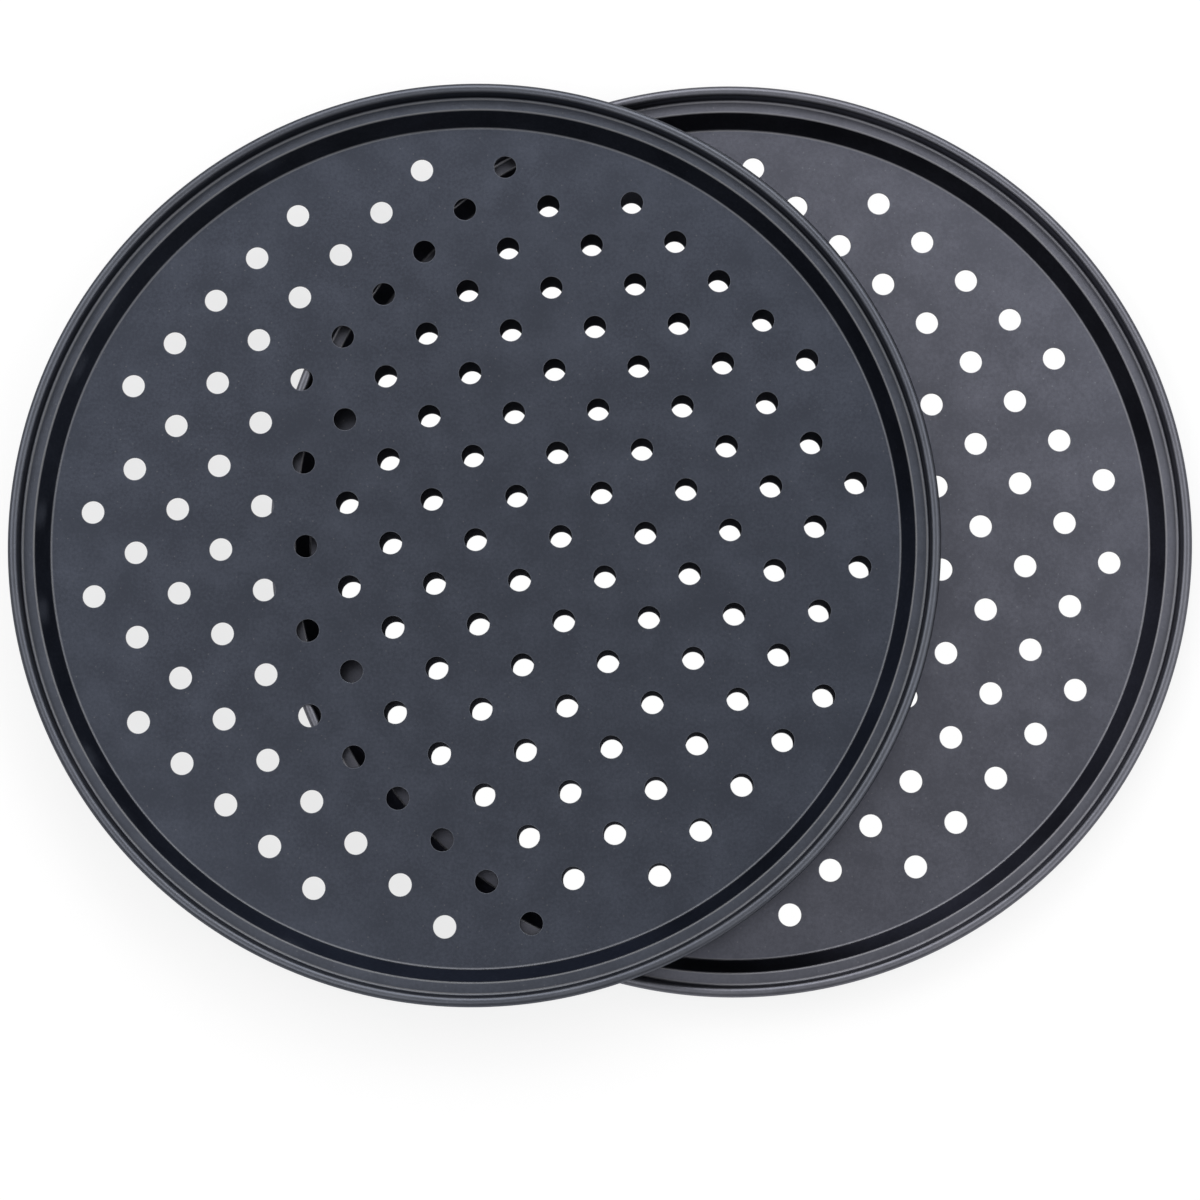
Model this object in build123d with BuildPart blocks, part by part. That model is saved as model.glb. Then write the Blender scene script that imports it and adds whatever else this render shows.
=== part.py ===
"""Two perforated pizza pans, the second one lying half across the first.

Each pan is one disc of thin coated steel. A press draws the disc into a flat base, a
sloping wall, a narrow ledge and a short upright neck, and a roller then curls the free
edge outwards into a bead. Rows of vent holes are punched through the base. The pans are
alike. The lower one stands on its flat base, and the upper one rests level on the lower
one's bead, moved to the left, so that it can be lifted straight off.

Units are millimetres and +Z is up. The origin lies on the surface that the set stands
on, under the centre of the set's outline.
"""

from build123d import *
from math import cos, hypot, radians, sin
import os

os.makedirs("parts", exist_ok=True)

# Sheet that each pan is pressed from
sheet = 0.5

# Pressed shape, measured on the upper face from the centre outwards
base_radius = 150.0
wall_run = 4.5
wall_rise = 7.5
ledge_width = 4.65
neck_height = 2.3

# Rolled edge: a hollow curl of flat strips, left open underneath
bead_diameter = 3.75
bead_sides = 8
bead_strips = 6

# Vent holes, in staggered rows with one hole at the centre of the pan
hole_diameter = 8.0
hole_sides = 8
row_gap = 15.0
plain_border = 6.5

# How the two pans lie
pan_shift_across = 90.1
pan_shift_along = 2.8
lower_turn = 2.0
upper_turn = 1.9
resting_gap = 0.3

# How far a cut runs past the faces that it goes through
overrun = 1.0

# Sizes that follow
ledge_height = sheet + wall_rise
neck_radius = base_radius + wall_run + ledge_width
bead_radius = bead_diameter / 2
pan_height = ledge_height + neck_height + bead_diameter
vent_field_radius = base_radius - plain_border - hole_diameter / 2


def bead_corner(number):
    """One corner of the rolled edge, counted over the top and down its outer side.

    The strips touch a circle of the bead's diameter. Corner 0 ends the upright strip
    that carries on the neck.
    """
    turn = 360 / bead_sides
    angle = radians(180 - turn * (number + 1 / 2))
    reach = bead_radius / cos(radians(turn / 2))
    across = neck_radius + bead_radius + reach * cos(angle)
    up = pan_height - bead_radius + reach * sin(angle)
    return across, up


def sheet_section(seat):
    """Half of a pan's section: its upper face, thickened downwards and outwards.

    The pressed part and the curl are thickened one after the other, because the curl
    turns back on itself, and they meet in a mitre at the top of the neck.
    """
    upright = Plane(seat.origin, x_dir=seat.x_dir, z_dir=-seat.y_dir)
    curl_corners = [bead_corner(number) for number in range(bead_strips + 1)]
    with BuildSketch(upright) as section:
        with BuildLine():
            Polyline(
                (0, sheet),
                (base_radius, sheet),
                (base_radius + wall_run, ledge_height),
                (neck_radius, ledge_height),
                curl_corners[0],
            )
            offset(amount=sheet, side=Side.RIGHT, kind=Kind.INTERSECTION)
        make_face()
        with BuildLine():
            Polyline(*curl_corners)
            offset(amount=sheet, side=Side.RIGHT, kind=Kind.INTERSECTION)
        make_face()
    return section.sketch


def vent_centres():
    """Centres of the vent holes: every second crossing of a square net, inside the border."""
    reach = int(vent_field_radius // row_gap)
    rows = range(-reach, reach + 1)
    return [
        (row_gap * across, row_gap * along)
        for across in rows
        for along in rows
        if (across + along) % 2 == 0
        and hypot(row_gap * across, row_gap * along) <= vent_field_radius
    ]


def vent_field(seat):
    """All the vent holes of a pan, drawn just above its base.

    Each hole has a few flat sides that touch a circle of the hole's diameter.
    """
    with BuildSketch(seat.offset(sheet + overrun)) as field:
        with Locations(*vent_centres()):
            RegularPolygon(hole_diameter / 2, hole_sides, major_radius=False)
    return field.sketch


# The foot of each pan: its place, its height and how far it is turned
lower_foot = (pan_shift_across / 2, pan_shift_along / 2, 0)
upper_foot = (-pan_shift_across / 2, -pan_shift_along / 2, pan_height + resting_gap)
lower_seat = Plane(lower_foot).rotated((0, 0, lower_turn))
upper_seat = Plane(upper_foot).rotated((0, 0, upper_turn))
vent_depth = sheet + 2 * overrun

# Lower pan, which stands on its base
with BuildPart() as lower_pan:
    revolve(sheet_section(lower_seat), axis=Axis(lower_foot, (0, 0, 1)))
    extrude(vent_field(lower_seat), amount=-vent_depth, mode=Mode.SUBTRACT)
lower_pan.part.label = "lower_pan"
export_step(lower_pan.part, "parts/lower_pan.step")

# Upper pan, which lies loose on the lower one's bead
with BuildPart() as upper_pan:
    revolve(sheet_section(upper_seat), axis=Axis(upper_foot, (0, 0, 1)))
    extrude(vent_field(upper_seat), amount=-vent_depth, mode=Mode.SUBTRACT)
upper_pan.part.label = "upper_pan"
export_step(upper_pan.part, "parts/upper_pan.step")

print("vent holes in each pan", len(vent_centres()))
print("outer diameter of a pan", round(2 * (neck_radius + bead_diameter), 1))
print("height of a pan", round(pan_height, 1))
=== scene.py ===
# %% [markdown]
# # Two perforated pizza pans
# This lesson dresses a set of two coated steel pizza pans. The solids come from the CAD
# model, and this script puts a finely rounded pan over each of them, gives both a dark
# non-stick coating, and sets up a plain studio. All of it could be modelled here from
# nothing, but with the CAD model underneath, the sizes and the joint stay right.
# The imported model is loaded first, because every later piece takes its place from it.

# %% Load the frame
import bmesh
import bpy
from math import cos, hypot, pi, radians, sin, tan
from mathutils import Matrix, Vector


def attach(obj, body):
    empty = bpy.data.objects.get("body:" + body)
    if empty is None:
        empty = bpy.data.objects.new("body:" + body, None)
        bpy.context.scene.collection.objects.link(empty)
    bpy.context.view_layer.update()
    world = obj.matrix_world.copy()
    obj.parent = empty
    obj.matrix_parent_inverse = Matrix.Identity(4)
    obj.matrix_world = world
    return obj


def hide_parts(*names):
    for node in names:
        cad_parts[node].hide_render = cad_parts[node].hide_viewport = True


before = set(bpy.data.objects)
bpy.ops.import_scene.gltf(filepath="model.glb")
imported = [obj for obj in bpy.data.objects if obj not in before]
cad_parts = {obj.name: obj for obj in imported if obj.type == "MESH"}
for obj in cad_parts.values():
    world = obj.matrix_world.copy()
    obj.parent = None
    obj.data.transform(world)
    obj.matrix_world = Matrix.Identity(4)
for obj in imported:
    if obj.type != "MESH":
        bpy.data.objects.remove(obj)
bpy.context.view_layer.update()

# %% [markdown]
# ## Sizes
# A pan is one disc of thin steel. The press gives it a flat base, a sloping wall, a
# ledge and a short neck, and a roller curls the free edge outwards into a bead. These
# are the CAD model's sizes, in metres. They could be measured on the CAD mesh, but
# named sizes are easier to follow. The bend radii are the press tool's, because the CAD
# solids leave those bends sharp. The trim keeps the bead just inside the CAD box.

# %% Sizes of a pan
MM = 0.001
SHEET = 0.5 * MM
BASE_RADIUS = 150.0 * MM
WALL_RUN = 4.5 * MM
WALL_RISE = 7.5 * MM
LEDGE_WIDTH = 4.65 * MM
NECK_HEIGHT = 2.3 * MM
BEAD_RADIUS = 1.875 * MM
TRIM = 0.02 * MM
FOOT_BEND = 0.8 * MM
SHOULDER_BEND = 0.7 * MM
LEDGE_BEND = 1.0 * MM

ledge_height = SHEET + WALL_RISE
neck_radius = BASE_RADIUS + WALL_RUN + LEDGE_WIDTH
bead_height = ledge_height + NECK_HEIGHT + BEAD_RADIUS
pan_height = bead_height + BEAD_RADIUS
print("pan height", round(pan_height, 5))

# %% [markdown]
# ## The section of the sheet
# A lathe needs one line to turn. The upper face of the sheet is drawn as straight runs
# whose corners are rounded by arcs, and then the curl. Every station of that line keeps
# the direction that points away from the steel, so that the under face is the same line
# moved through the sheet. A bevel modifier could round the corners too, but the arcs
# give each bend its own radius. Each station also says how much painted highlight, a
# paler and rougher coating, it gets, from 0 on flat parts to 1 on the brightest bend.

# %% Stations along the upper face
BEND_STEP = radians(7)
LEAST_STEPS = 3
SUPPORT = 0.15 * MM


def left_of(direction):
    """The direction a quarter turn to the left, which is up for a run outwards."""
    return Vector((-direction.y, direction.x))


def arc_stations(start, direction, radius, turn, first, last):
    """Stations on an arc that starts along a direction. A turn to the left is positive.
    The painted highlight goes from its first value to its last along the arc."""
    side = 1 if turn > 0 else -1
    centre = start + left_of(direction) * radius * side
    steps = max(LEAST_STEPS, round(abs(turn) / BEND_STEP))
    stations = []
    for step in range(steps + 1):
        heading = Matrix.Rotation(turn * step / steps, 2) @ direction
        outward = left_of(heading)
        highlight = first + (last - first) * step / steps
        stations.append((centre - outward * radius * side, outward, highlight))
    return stations


def run_stations(start, end, highlight):
    """Two stations close to the ends of a straight run, which keep it flat when shaded."""
    direction = (end - start).normalized()
    outward = left_of(direction)
    places = (start + direction * SUPPORT, end - direction * SUPPORT)
    return [(place, outward, highlight) for place in places]


# %% The corners of the section
# A corner has its place, its bend radius, the painted highlight of the run before it,
# and the painted highlight at the start and end of its arc.
SEAM_INSET = 3.0 * MM
seam = Vector((BASE_RADIUS - SEAM_INSET, SHEET))
neck_top = Vector((neck_radius, bead_height))
foot = {
    "at": Vector((BASE_RADIUS, SHEET)),
    "radius": FOOT_BEND,
    "run": 0.0,
    "highlight": (0.6, 0.6),
}
shoulder = {
    "at": Vector((BASE_RADIUS + WALL_RUN, ledge_height)),
    "radius": SHOULDER_BEND,
    "run": 0.0,
    "highlight": (0.7, 1.0),
}
ledge_corner = {
    "at": Vector((neck_radius, ledge_height)),
    "radius": LEDGE_BEND,
    "run": 0.14,
    "highlight": (1.0, 0.0),
}
corners = [foot, shoulder, ledge_corner]
print("corners of the section", len(corners))

# %% Draw the section
UP = Vector((0, 1))
CURL_TURN = radians(285)
# The curl's value paints a broad highlight along the bead.
CURL_HIGHLIGHT = 0.33


def pressed_stations():
    """Stations from the edge of the flat base to the top of the neck."""
    stations = [(seam, UP, 0.0)]
    here, previous = seam, seam
    targets = [corner["at"] for corner in corners[1:]] + [neck_top]
    for corner, target in zip(corners, targets):
        before = (corner["at"] - previous).normalized()
        after = (target - corner["at"]).normalized()
        turn = -before.angle_signed(after)
        reach = corner["radius"] * abs(tan(turn / 2))
        bend_start = corner["at"] - before * reach
        radius, highlight = corner["radius"], corner["highlight"]
        stations += run_stations(here, bend_start, corner["run"])
        stations += arc_stations(bend_start, before, radius, turn, *highlight)
        here, previous = corner["at"] + after * reach, corner["at"]
    return stations + run_stations(here, neck_top, 0.0)


def curl_stations():
    """Stations round the bead, from the top of the neck to the cut edge."""
    highlight = (CURL_HIGHLIGHT, CURL_HIGHLIGHT)
    return arc_stations(neck_top, UP, BEAD_RADIUS - TRIM, -CURL_TURN, *highlight)


stations = pressed_stations() + curl_stations()
print("stations on the section", len(stations))

# %% [markdown]
# ## Turning the section
# The closed outline of the sheet goes out along the upper face, round the cut edge of
# the curl and back along the under face. Turned about the pan's axis it becomes rings of
# four-sided faces. The Screw modifier could turn it too, but rings made in code can be
# joined to the flat base, which gets its holes in the next step. Every vertex carries
# the painted highlight of its station as an attribute, which the material reads later.

# %% Outline of the sheet
EDGE_STEPS = 4
# The cut edge of the curl gets the full painted highlight.
EDGE_HIGHLIGHT = 1.0


def sheet_outline():
    """Place and painted highlight of each ring, from the upper seam to the under seam."""
    upper = [(point, highlight) for point, outward, highlight in stations]
    under = [(point - outward * SHEET, highlight) for point, outward, highlight in stations]
    tip, outward, highlight = stations[-1]
    middle = tip - outward * SHEET / 2
    onward = -left_of(outward)
    edge = []
    for step in range(1, EDGE_STEPS):
        angle = pi * step / EDGE_STEPS
        around = outward * cos(angle) + onward * sin(angle)
        edge.append((middle + around * SHEET / 2, EDGE_HIGHLIGHT))
    return upper + edge + under[::-1]


print("rings of the rim", len(sheet_outline()))

# %% Rings and the faces between them
SECTORS = 288


def ring(bm, radius, height, highlight, count=SECTORS, centre=(0, 0)):
    """A ring of vertices at a height, each with its painted highlight."""
    layer = bm.verts.layers.float["highlight"]
    made = []
    for number in range(count):
        angle = 2 * pi * number / count
        place = (centre[0] + radius * cos(angle), centre[1] + radius * sin(angle), height)
        vertex = bm.verts.new(place)
        # Each vertex stores how much painted highlight its station gets.
        vertex[layer] = highlight
        made.append(vertex)
    return made


def bridge(bm, first, second):
    """Four-sided faces between two rings of equal count."""
    for number in range(len(first)):
        after = (number + 1) % len(first)
        bm.faces.new((first[number], second[number], second[after], first[after]))


# %% [markdown]
# ## Vent holes
# The holes are punched from above, in staggered rows. A punch drags the sheet down a
# little at the upper edge, and leaves a crisp edge below. Each hole is a stack of rings
# through the sheet. The flat base between the rings is filled as one surface, which
# gives cleaner holes than 137 boolean cuts.

# %% Places of the holes
HOLE_RADIUS = 4.0 * MM
ROW_GAP = 15.0 * MM
PLAIN_BORDER = 6.5 * MM
field_radius = BASE_RADIUS - PLAIN_BORDER - HOLE_RADIUS
rows = int(field_radius / ROW_GAP)


def vent_centres():
    """Centres of the holes, in staggered rows with one at the centre of the pan."""
    found = []
    for along in range(-rows, rows + 1):
        for across in range(-rows, rows + 1):
            staggered = (across + along) % 2 == 0
            if staggered and hypot(across, along) * ROW_GAP <= field_radius:
                found.append((across * ROW_GAP, along * ROW_GAP))
    return found


print("vent holes", len(vent_centres()))

# %% Rings of one hole
HOLE_SIDES = 36
PUNCH_ROUND = 0.16 * MM
PUNCH_STEPS = 4
BURR = 0.05 * MM
LAND = 0.1 * MM
# The rounded edge of each hole gets some painted highlight.
HOLE_HIGHLIGHT = 0.3


def hole_rings():
    """Radius, height and painted highlight of the rings of a hole, from the upper face
    down.
    """
    rings = [(HOLE_RADIUS + PUNCH_ROUND + LAND, SHEET, 0.0)]
    for step in range(PUNCH_STEPS + 1):
        angle = pi / 2 * step / PUNCH_STEPS
        radius = HOLE_RADIUS + PUNCH_ROUND * (1 - sin(angle))
        height = SHEET - PUNCH_ROUND * (1 - cos(angle))
        rings.append((radius, height, HOLE_HIGHLIGHT))
    rings.append((HOLE_RADIUS, BURR, HOLE_HIGHLIGHT))
    rings.append((HOLE_RADIUS + BURR, 0, HOLE_HIGHLIGHT))
    rings.append((HOLE_RADIUS + BURR + LAND, 0, 0.0))
    return rings


print("rings of a hole", len(hole_rings()))


# %% Build the mesh of a pan
def fill_flat(bm, loops, normal):
    """Fills the flat between an outer ring and the rings of the holes."""
    edges = []
    for loop in loops:
        for number in range(len(loop)):
            edges.append(bm.edges.get((loop[number], loop[(number + 1) % len(loop)])))
    bmesh.ops.triangle_fill(
        bm, edges=edges, use_beauty=True, use_dissolve=False, normal=normal
    )


def pan_mesh():
    """The whole pan as one closed surface, with its painted highlight attribute."""
    bm = bmesh.new()
    bm.verts.layers.float.new("highlight")
    turned = [ring(bm, point.x, point.y, highlight) for point, highlight in sheet_outline()]
    for inner, outer in zip(turned, turned[1:]):
        bridge(bm, inner, outer)
    upper_loops, under_loops = [turned[0]], [turned[-1]]
    for centre in vent_centres():
        stack = [ring(bm, *values, HOLE_SIDES, centre) for values in hole_rings()]
        for upper, lower in zip(stack, stack[1:]):
            bridge(bm, lower, upper)
        upper_loops.append(stack[0])
        under_loops.append(stack[-1])
    fill_flat(bm, upper_loops, (0, 0, 1))
    fill_flat(bm, under_loops, (0, 0, -1))
    bmesh.ops.recalc_face_normals(bm, faces=bm.faces)
    for face in bm.faces:
        face.smooth = True
    mesh = bpy.data.meshes.new("pan")
    bm.to_mesh(mesh)
    bm.free()
    return mesh


pan = pan_mesh()
print("faces of a pan", len(pan.polygons))

# %% [markdown]
# ## Putting the pans in their places
# Both pans come off the same tool, so they share the form. The lower one stands on the
# floor, and the upper one rests on its bead, moved to the left. The second could be
# modelled anew, but a copy of the first mesh is sure to match it. Each replaces its CAD
# node and rides on that node's body. Its coating comes in a later step.

# %% Place both pans
ACROSS = 45.05 * MM
ALONG = 1.4 * MM
RESTING_GAP = 0.3 * MM
PLACES = {
    "lower_pan": {
        "body": "lower",
        "at": (ACROSS, ALONG, 0),
        "turn": radians(2.0),
    },
    "upper_pan": {
        "body": "upper",
        "at": (-ACROSS, -ALONG, pan_height + RESTING_GAP),
        "turn": radians(1.9),
    },
}
pans = {}
for node, place in PLACES.items():
    mesh = pan.copy()
    mesh.name = "pressed_" + node
    piece = bpy.data.objects.new("pressed_" + node, mesh)
    bpy.context.scene.collection.objects.link(piece)
    spin = Matrix.Rotation(place["turn"], 4, "Z")
    mesh.transform(Matrix.Translation(place["at"]) @ spin)
    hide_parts(node)
    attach(piece, place["body"])
    pans[node] = piece

# %% [markdown]
# ## Non-stick coating
# The coating is a dark grey baked film with fine mineral flakes in it. Along the bends
# of the sheet it is painted paler, as a painted highlight, and made duller. A picture
# wrapped round the pan could show both, but nodes stay sharp from close up and need no
# unwrapping. The flakes and the painted bend highlight are a node group each, so that
# both pans use them with values of their own.


# %% Helpers for node trees
def new_group(name, inputs, outputs):
    """A shader node group with named value inputs and outputs."""
    group = bpy.data.node_groups.new(name, "ShaderNodeTree")
    kind = "NodeSocketFloat"
    for label, value in inputs.items():
        socket = group.interface.new_socket(label, in_out="INPUT", socket_type=kind)
        socket.default_value = value
    for label in outputs:
        group.interface.new_socket(label, in_out="OUTPUT", socket_type=kind)
    return group, group.nodes.new("NodeGroupInput"), group.nodes.new("NodeGroupOutput")


def math_node(tree, operation, first, second, third=None):
    """A math node. A number is set, and a socket is linked."""
    node = tree.nodes.new("ShaderNodeMath")
    node.operation = operation
    for slot, value in enumerate((first, second, third)):
        if value is None:
            continue
        if hasattr(value, "links"):
            tree.links.new(value, node.inputs[slot])
        else:
            node.inputs[slot].default_value = value
    return node.outputs[0]


NOISE_DETAIL = 3.0
SOFT_NOISE = 0.5


def noise_node(tree, coordinate, size, roughness=SOFT_NOISE):
    """A noise texture whose largest spots have a size."""
    node = tree.nodes.new("ShaderNodeTexNoise")
    node.inputs["Scale"].default_value = 1 / size
    node.inputs["Detail"].default_value = NOISE_DETAIL
    node.inputs["Roughness"].default_value = roughness
    tree.links.new(coordinate, node.inputs["Vector"])
    return node.outputs["Fac"]


# %% Flake speckle group
# The shift moves the pattern along, so that no two pans have the same flakes.
speckle, speckle_in, speckle_out = new_group(
    "Flake speckle", {"Shift": 0.0}, ["Tone", "Fleck", "Height"]
)
place_in_piece = speckle.nodes.new("ShaderNodeTexCoord")
shifted = speckle.nodes.new("ShaderNodeVectorMath")
shifted.operation = "ADD"
speckle.links.new(place_in_piece.outputs["Object"], shifted.inputs[0])
speckle.links.new(speckle_in.outputs["Shift"], shifted.inputs[1])
print("new group", speckle.name)

# %% Grain and clouds of the film
# Both swing about the middle tone. The lowest tone cuts off dark spots, which the real
# film doesn't have.
GRAIN_SIZE = 1.1 * MM
GRAIN_NOISE = 0.7
GRAIN_SWING = 1.0
GRAIN_DEPTH = 0.03 * MM
CLOUD_SIZE = 16 * MM
CLOUD_SWING = 0.8
MIDDLE_TONE = 0.5
LOWEST_TONE = 0.35
grain = noise_node(speckle, shifted.outputs[0], GRAIN_SIZE, GRAIN_NOISE)
cloud = noise_node(speckle, shifted.outputs[0], CLOUD_SIZE)
grain_part = math_node(speckle, "MULTIPLY_ADD", grain, GRAIN_SWING, -GRAIN_SWING / 2)
cloud_part = math_node(speckle, "MULTIPLY_ADD", cloud, CLOUD_SWING, -CLOUD_SWING / 2)
tone = math_node(speckle, "ADD", grain_part, cloud_part)
tone = math_node(speckle, "ADD", tone, MIDDLE_TONE)
tone = math_node(speckle, "MAXIMUM", tone, LOWEST_TONE)
speckle.links.new(tone, speckle_out.inputs["Tone"])
height = math_node(speckle, "MULTIPLY", grain, GRAIN_DEPTH)
speckle.links.new(height, speckle_out.inputs["Height"])
print("grain", GRAIN_SIZE, "cloud", CLOUD_SIZE)

# %% Single flecks
# A fleck shows where the middle of a cell lies close to the surface, so it is rare.
FLECK_GAP = 3.2 * MM
FLECK_CORE = 0.05
FLECK_EDGE = 0.11
cells = speckle.nodes.new("ShaderNodeTexVoronoi")
cells.inputs["Scale"].default_value = 1 / FLECK_GAP
speckle.links.new(shifted.outputs[0], cells.inputs["Vector"])
spots = speckle.nodes.new("ShaderNodeMapRange")
spots.inputs["From Min"].default_value = FLECK_EDGE
spots.inputs["From Max"].default_value = FLECK_CORE
speckle.links.new(cells.outputs["Distance"], spots.inputs["Value"])
speckle.links.new(spots.outputs["Result"], speckle_out.inputs["Fleck"])
print("nodes in", speckle.name, len(speckle.nodes))

# %% Painted bend highlight group
# A slow noise makes the painted highlight wander in strength along a bend.
UNEVEN_SIZE = 12 * MM
UNEVEN_SWING = 0.8
UNEVEN_LEAST = 0.6
bent, bent_in, bent_out = new_group(
    "Painted bend highlight", {"Highlight": 0.0, "Amount": 1.0}, ["Mask"]
)
where = bent.nodes.new("ShaderNodeTexCoord")
uneven = noise_node(bent, where.outputs["Object"], UNEVEN_SIZE)
uneven = math_node(bent, "MULTIPLY_ADD", uneven, UNEVEN_SWING, UNEVEN_LEAST)
mask = math_node(bent, "MULTIPLY", bent_in.outputs["Highlight"], uneven)
mask = math_node(bent, "MULTIPLY", mask, bent_in.outputs["Amount"])
bent.links.new(mask, bent_out.inputs["Mask"])
print("nodes in", bent.name, len(bent.nodes))

# %% [markdown]
# ## The coating material
# One function makes the coating, because the two pans differ only in tint. The upper
# pan's tones are the same coating made darker and bluer, which paints in the dimmer
# light on that pan. Grain and clouds move the colour between a dark and a light tone,
# and a third, pale tone shows on single flecks and, as a painted highlight, along the
# bends. The film is full of metal flakes, so it is a metal here. A metal turns bright
# when seen at a flat angle, but this film stays dark there, which the dull Specular
# Tint gives.

# %% Finish of the film
FLECK_STRENGTH = 0.5
SMOOTHEST = 0.25
TONE_ROUGHENS = 0.1
# Where the bends carry the painted highlight, the film is also made rougher.
HIGHLIGHT_ROUGHENS = 0.28
FLAT_ANGLE_TINT = (0.5, 0.5, 0.5, 1)
BUMP_STRENGTH = 0.5
print("roughness of a hard bend", SMOOTHEST + TONE_ROUGHENS / 2 + HIGHLIGHT_ROUGHENS)


def mixed(tree, amount, first, second):
    """A colour between two others. Each is a colour or a socket."""
    node = tree.nodes.new("ShaderNodeMix")
    node.data_type = "RGBA"
    tree.links.new(amount, node.inputs["Factor"])
    for label, colour in (("A", first), ("B", second)):
        if hasattr(colour, "links"):
            tree.links.new(colour, node.inputs[label])
        else:
            node.inputs[label].default_value = (*colour, 1)
    return node.outputs["Result"]


def placed_group(tree, group, values):
    """A node group in a material, with its input values."""
    node = tree.nodes.new("ShaderNodeGroup")
    node.node_tree = group
    for label, value in values.items():
        node.inputs[label].default_value = value
    return node


# %% Coating material
def coating(name, dark, light, fleck_and_highlight, shift, amount):
    """The baked coating between its darkest and lightest tone, paler along the bends,
    where it gets a painted highlight.
    The grain's height is in metres, so the bump takes it times one."""
    material = bpy.data.materials.new(name)
    material.use_nodes = True
    tree = material.node_tree
    shader = tree.nodes["Principled BSDF"]
    flakes = placed_group(tree, speckle, {"Shift": shift})
    bends = placed_group(tree, bent, {"Amount": amount})
    # The attribute carries the painted highlight of each station.
    attribute = tree.nodes.new("ShaderNodeAttribute")
    attribute.attribute_name = "highlight"
    tree.links.new(attribute.outputs["Fac"], bends.inputs["Highlight"])
    film = mixed(tree, flakes.outputs["Tone"], dark, light)
    fleck = math_node(tree, "MULTIPLY", flakes.outputs["Fleck"], FLECK_STRENGTH)
    film = mixed(tree, fleck, film, fleck_and_highlight)
    # Paler where the bend mask is: a painted highlight along the bends.
    film = mixed(tree, bends.outputs["Mask"], film, fleck_and_highlight)
    tree.links.new(film, shader.inputs["Base Color"])
    tone, mask = flakes.outputs["Tone"], bends.outputs["Mask"]
    rough = math_node(tree, "MULTIPLY_ADD", tone, TONE_ROUGHENS, SMOOTHEST)
    rough = math_node(tree, "MULTIPLY_ADD", mask, HIGHLIGHT_ROUGHENS, rough)
    tree.links.new(rough, shader.inputs["Roughness"])
    shader.inputs["Metallic"].default_value = 1.0
    shader.inputs["Specular Tint"].default_value = FLAT_ANGLE_TINT
    bump = tree.nodes.new("ShaderNodeBump")
    bump.inputs["Strength"].default_value = BUMP_STRENGTH
    bump.inputs["Distance"].default_value = 1.0
    tree.links.new(flakes.outputs["Height"], bump.inputs["Height"])
    tree.links.new(bump.outputs["Normal"], shader.inputs["Normal"])
    return material


# The pale tone shows on the flecks and, as a painted highlight, along the bends.
COATINGS = {
    "lower_pan": {
        "name": "grey coating",
        "dark": (0.085, 0.088, 0.108),
        "light": (0.150, 0.154, 0.188),
        "fleck_and_highlight": (0.225, 0.225, 0.245),
        "shift": 0.0,
        "amount": 1.0,
    },
    # The upper pan's tones are darker and bluer: painted shade for the dimmer light on it.
    "upper_pan": {
        "name": "blue grey coating",
        "dark": (0.054, 0.060, 0.078),
        "light": (0.097, 0.108, 0.140),
        "fleck_and_highlight": (0.165, 0.168, 0.180),
        "shift": 0.37,
        "amount": 1.0,
    },
}
for node, finish in COATINGS.items():
    pans[node].data.materials.append(coating(**finish))
    print(node, "has", pans[node].data.materials[0].name)

# %% [markdown]
# ## Floor
# The set stands on a plain white table. A white plane could be left to the lamps alone,
# but then it comes out grey in one corner and burnt out in another. So most of its white
# is a glow that the camera and mirrors see, and the rest is paper that takes the soft
# shadow of the pans. Far away, where no shadow falls, all of it is glow. So it is in a
# disc under the lower pan, which the camera alone sees: a mirror image of that white
# through the holes would brighten the steep walls, which are nearly black.

# %% Floor
HALF_FLOOR = 60.0
DROP = 0.05 * MM
TABLE_ROUGHNESS = 0.9
floor_mesh = bpy.data.meshes.new("floor")
square = [(-HALF_FLOOR, -HALF_FLOOR), (HALF_FLOOR, -HALF_FLOOR)]
square += [(HALF_FLOOR, HALF_FLOOR), (-HALF_FLOOR, HALF_FLOOR)]
floor_mesh.from_pydata([(x, y, -DROP) for x, y in square], [], [(0, 1, 2, 3)])
floor = bpy.data.objects.new("floor", floor_mesh)
bpy.context.scene.collection.objects.link(floor)
table = bpy.data.materials.new("white table")
table.use_nodes = True
tree = table.node_tree
shader = tree.nodes["Principled BSDF"]
shader.inputs["Roughness"].default_value = TABLE_ROUGHNESS
shader.inputs["Specular IOR Level"].default_value = 0.0
shader.inputs["Emission Color"].default_value = (1, 1, 1, 1)
floor_mesh.materials.append(table)
print("floor side", 2 * HALF_FLOOR)

# %% Where the floor is plain white
SHADE_START = 0.4
SHADE_END = 1.2


def distance_mask(centre, full, none):
    """1 from one distance to a centre on, fading to 0 at another distance."""
    apart = tree.nodes.new("ShaderNodeVectorMath")
    apart.operation = "DISTANCE"
    apart.inputs[1].default_value = centre
    tree.links.new(spot.outputs["Object"], apart.inputs[0])
    mask = tree.nodes.new("ShaderNodeMapRange")
    mask.interpolation_type = "SMOOTHSTEP"
    mask.inputs["From Min"].default_value = none
    mask.inputs["From Max"].default_value = full
    tree.links.new(apart.outputs["Value"], mask.inputs["Value"])
    return mask.outputs["Result"]


spot = tree.nodes.new("ShaderNodeTexCoord")
beneath = distance_mask((ACROSS, ALONG, -DROP), BASE_RADIUS - PLAIN_BORDER, BASE_RADIUS)
far = distance_mask((0, 0, -DROP), SHADE_END, SHADE_START)
plain = math_node(tree, "MAXIMUM", beneath, far)
print("shadow fades out from", SHADE_START, "to", SHADE_END)

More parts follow.
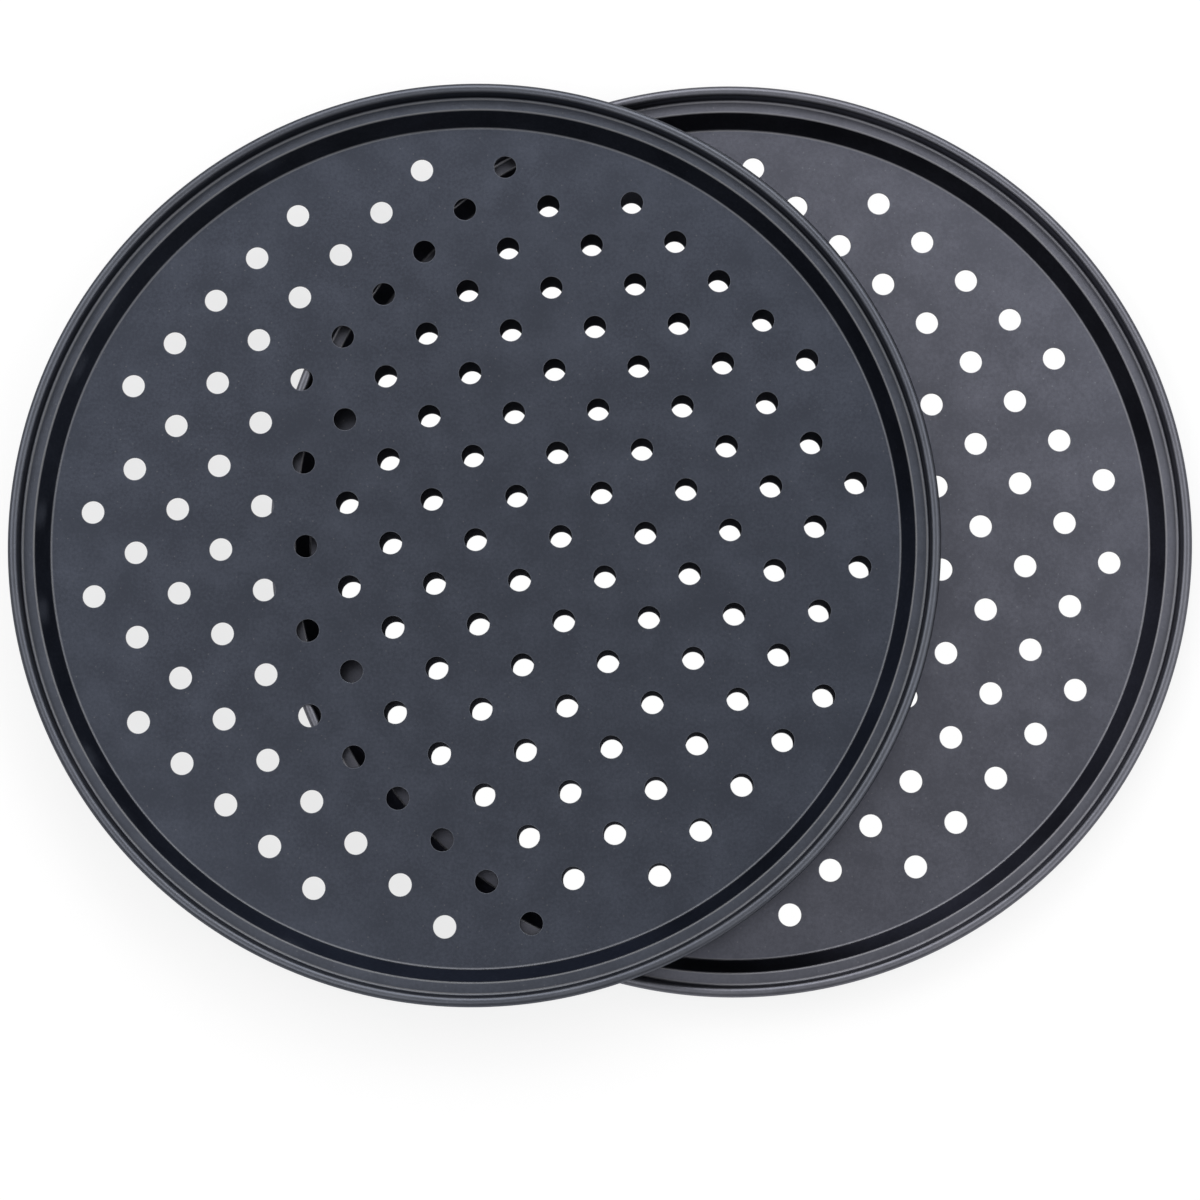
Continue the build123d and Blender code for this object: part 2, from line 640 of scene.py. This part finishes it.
# %% Paper and glow
PAPER = 0.22
paper = math_node(tree, "MULTIPLY_ADD", plain, -PAPER, PAPER)
tone = tree.nodes.new("ShaderNodeCombineColor")
for channel in ("Red", "Green", "Blue"):
    tree.links.new(paper, tone.inputs[channel])
tree.links.new(tone.outputs["Color"], shader.inputs["Base Color"])
ray = tree.nodes.new("ShaderNodeLightPath")
to_mirror, to_glass = ray.outputs["Is Glossy Ray"], ray.outputs["Is Transmission Ray"]
mirrored = math_node(tree, "MAXIMUM", to_mirror, to_glass)
outside = math_node(tree, "SUBTRACT", 1.0, beneath)
mirrored = math_node(tree, "MULTIPLY", mirrored, outside)
seen = math_node(tree, "MAXIMUM", ray.outputs["Is Camera Ray"], mirrored)
glow = math_node(tree, "SUBTRACT", 1.0, paper)
glow = math_node(tree, "MULTIPLY", glow, seen)
tree.links.new(glow, shader.inputs["Emission Strength"])
print("nodes in", table.name, len(tree.nodes))

# %% [markdown]
# ## Studio light
# The picture shows flat parts bright, steep parts nearly black and a thin light line at
# every bend. A sun lamp would throw hard shadows, and an even white world would light
# the walls as much as the base. Wide soft panels above the pans, in a world that is dim
# at the horizon, light flat parts more than steep ones.

# %% World
HORIZON = 0.12
OVERHEAD = 0.5
OVERHEAD_FROM = 0.8
world = bpy.data.worlds.new("studio")
bpy.context.scene.world = world
world.use_nodes = True
sky = world.node_tree
aim = sky.nodes.new("ShaderNodeTexCoord")
parts = sky.nodes.new("ShaderNodeSeparateXYZ")
sky.links.new(aim.outputs["Generated"], parts.inputs["Vector"])
rise = sky.nodes.new("ShaderNodeMapRange")
rise.inputs["From Max"].default_value = OVERHEAD_FROM
rise.inputs["To Min"].default_value = HORIZON
rise.inputs["To Max"].default_value = OVERHEAD
sky.links.new(parts.outputs["Z"], rise.inputs["Value"])
sky.links.new(rise.outputs["Result"], sky.nodes["Background"].inputs["Color"])
print("world from", HORIZON, "to", OVERHEAD)

# %% Soft panels
PANEL_DISTANCE = 1.7


def panel(name, lean, bearing, width, height, strength):
    """A soft panel that faces the pans. Strength is the brightness of its face."""
    towards = Vector((
        sin(radians(lean)) * cos(radians(bearing)),
        sin(radians(lean)) * sin(radians(bearing)),
        cos(radians(lean)),
    ))
    light = bpy.data.lights.new(name, "AREA")
    light.shape = "RECTANGLE"
    light.size = width
    light.size_y = height
    light.energy = strength * pi * width * height
    lamp = bpy.data.objects.new(name, light)
    lamp.location = towards * PANEL_DISTANCE
    lamp.rotation_euler = (-towards).to_track_quat("-Z", "Y").to_euler()
    bpy.context.scene.collection.objects.link(lamp)


# Lean from upright and bearing in degrees, width and height in metres, strength.
PANELS = {
    "top": (48, 90, 1.3, 1.0, 2.8),
    "top left": (46, 155, 1.0, 1.0, 2.0),
    "top right": (42, 35, 1.0, 1.0, 1.7),
    "right": (44, 335, 1.0, 1.0, 1.5),
    "front left": (34, 225, 0.9, 0.9, 1.7),
    "low right": (66, 345, 0.9, 0.6, 0.8),
}
for name, values in PANELS.items():
    panel(name, *values)
print("panels", len(PANELS))

# %% [markdown]
# ## Camera
# The camera looks almost straight down from about a metre. It could be placed by eye,
# but its place, aim and focal length come from a fit of the hole centres and the rings
# of both pans, so the render lies on the picture. The small shift stands for the
# picture's crop.

# %% Camera
IMAGE_SIDE = 1200
FOCAL_PIXELS = 2937.5
MIDDLE = (588.4, 532.4)
SENSOR = 36.0
CAMERA_PLACE = (2.81 * MM, -154.47 * MM, 1039.76 * MM)
CAMERA_TURN = (0.15044, 0.00850, -0.00448)
camera = bpy.data.cameras.new("camera")
camera.sensor_width = SENSOR
camera.lens = FOCAL_PIXELS * SENSOR / IMAGE_SIDE
camera.shift_x = (IMAGE_SIDE / 2 - MIDDLE[0]) / IMAGE_SIDE
camera.shift_y = (MIDDLE[1] - IMAGE_SIDE / 2) / IMAGE_SIDE
viewer = bpy.data.objects.new("camera", camera)
viewer.location = CAMERA_PLACE
viewer.rotation_euler = CAMERA_TURN
bpy.context.scene.collection.objects.link(viewer)
bpy.context.scene.camera = viewer
bpy.context.scene.view_settings.view_transform = "Standard"
print("lens", camera.lens, "shift", camera.shift_x, camera.shift_y)
